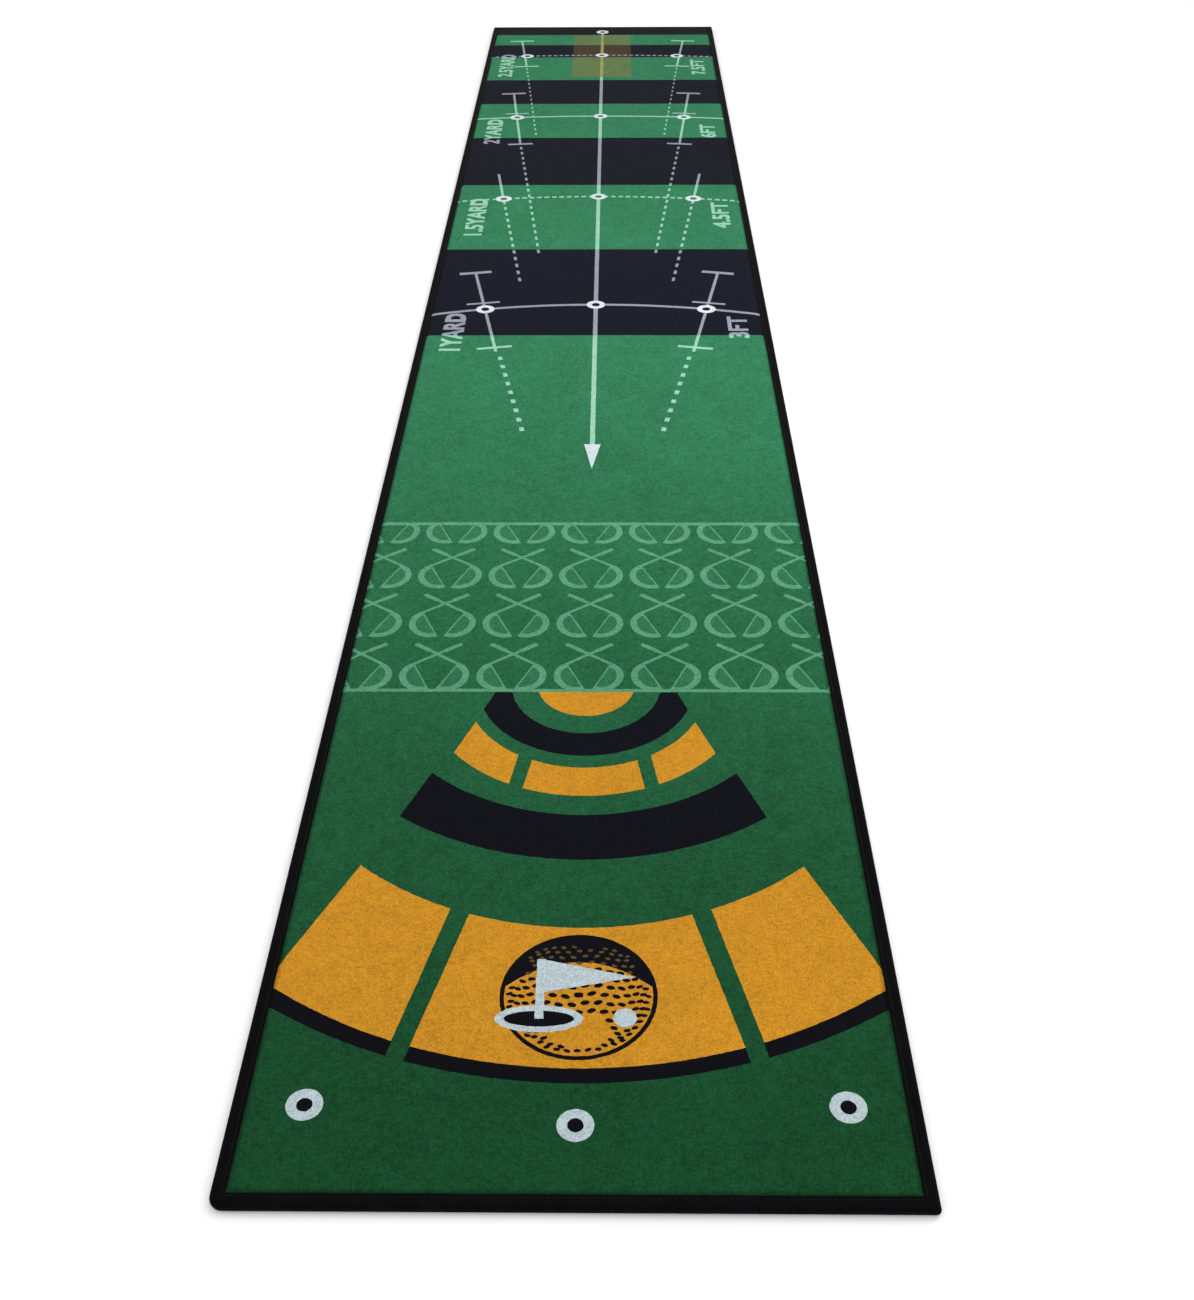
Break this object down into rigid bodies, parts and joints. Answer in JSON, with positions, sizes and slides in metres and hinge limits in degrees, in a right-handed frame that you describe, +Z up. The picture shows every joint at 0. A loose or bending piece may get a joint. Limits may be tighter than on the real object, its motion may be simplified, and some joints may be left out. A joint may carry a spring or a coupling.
{
  "type": "practice putting mat",
  "caption": "Long practice putting mat with a printed short pile face showing aiming bands, arcs and distance lines, rubber backing and a sewn folded tape edge.",
  "frame": {"origin": "on the floor under the middle of the mat", "axes": "+X across the mat to the right of a player who looks along it, +Y along the mat from the ball end to the far end, +Z up out of the pile"},
  "size_m": [0.5, 3, 0.008],
  "materials": {
    "printed_pile": "matte short cut pile, printed",
    "backing_weave": "matte woven tape yarn",
    "latex": "matte",
    "rubber": "matte, studded grip texture",
    "binding_tape": "matte woven tape",
    "thread": "satin bonded thread"
  },
  "bodies": {
    "root": {"pile_face": "printed_pile", "backing_cloth": "backing_weave", "latex_coat": "latex", "rubber_backing": "rubber", "binding_left": "binding_tape", "needle_thread_left": "thread", "bobbin_thread_left": "thread", "binding_right": "binding_tape", "needle_thread_right": "thread", "bobbin_thread_right": "thread", "binding_near": "binding_tape", "needle_thread_near": "thread", "bobbin_thread_near": "thread", "binding_far": "binding_tape", "needle_thread_far": "thread", "bobbin_thread_far": "thread"}
  },
  "joints": []
}
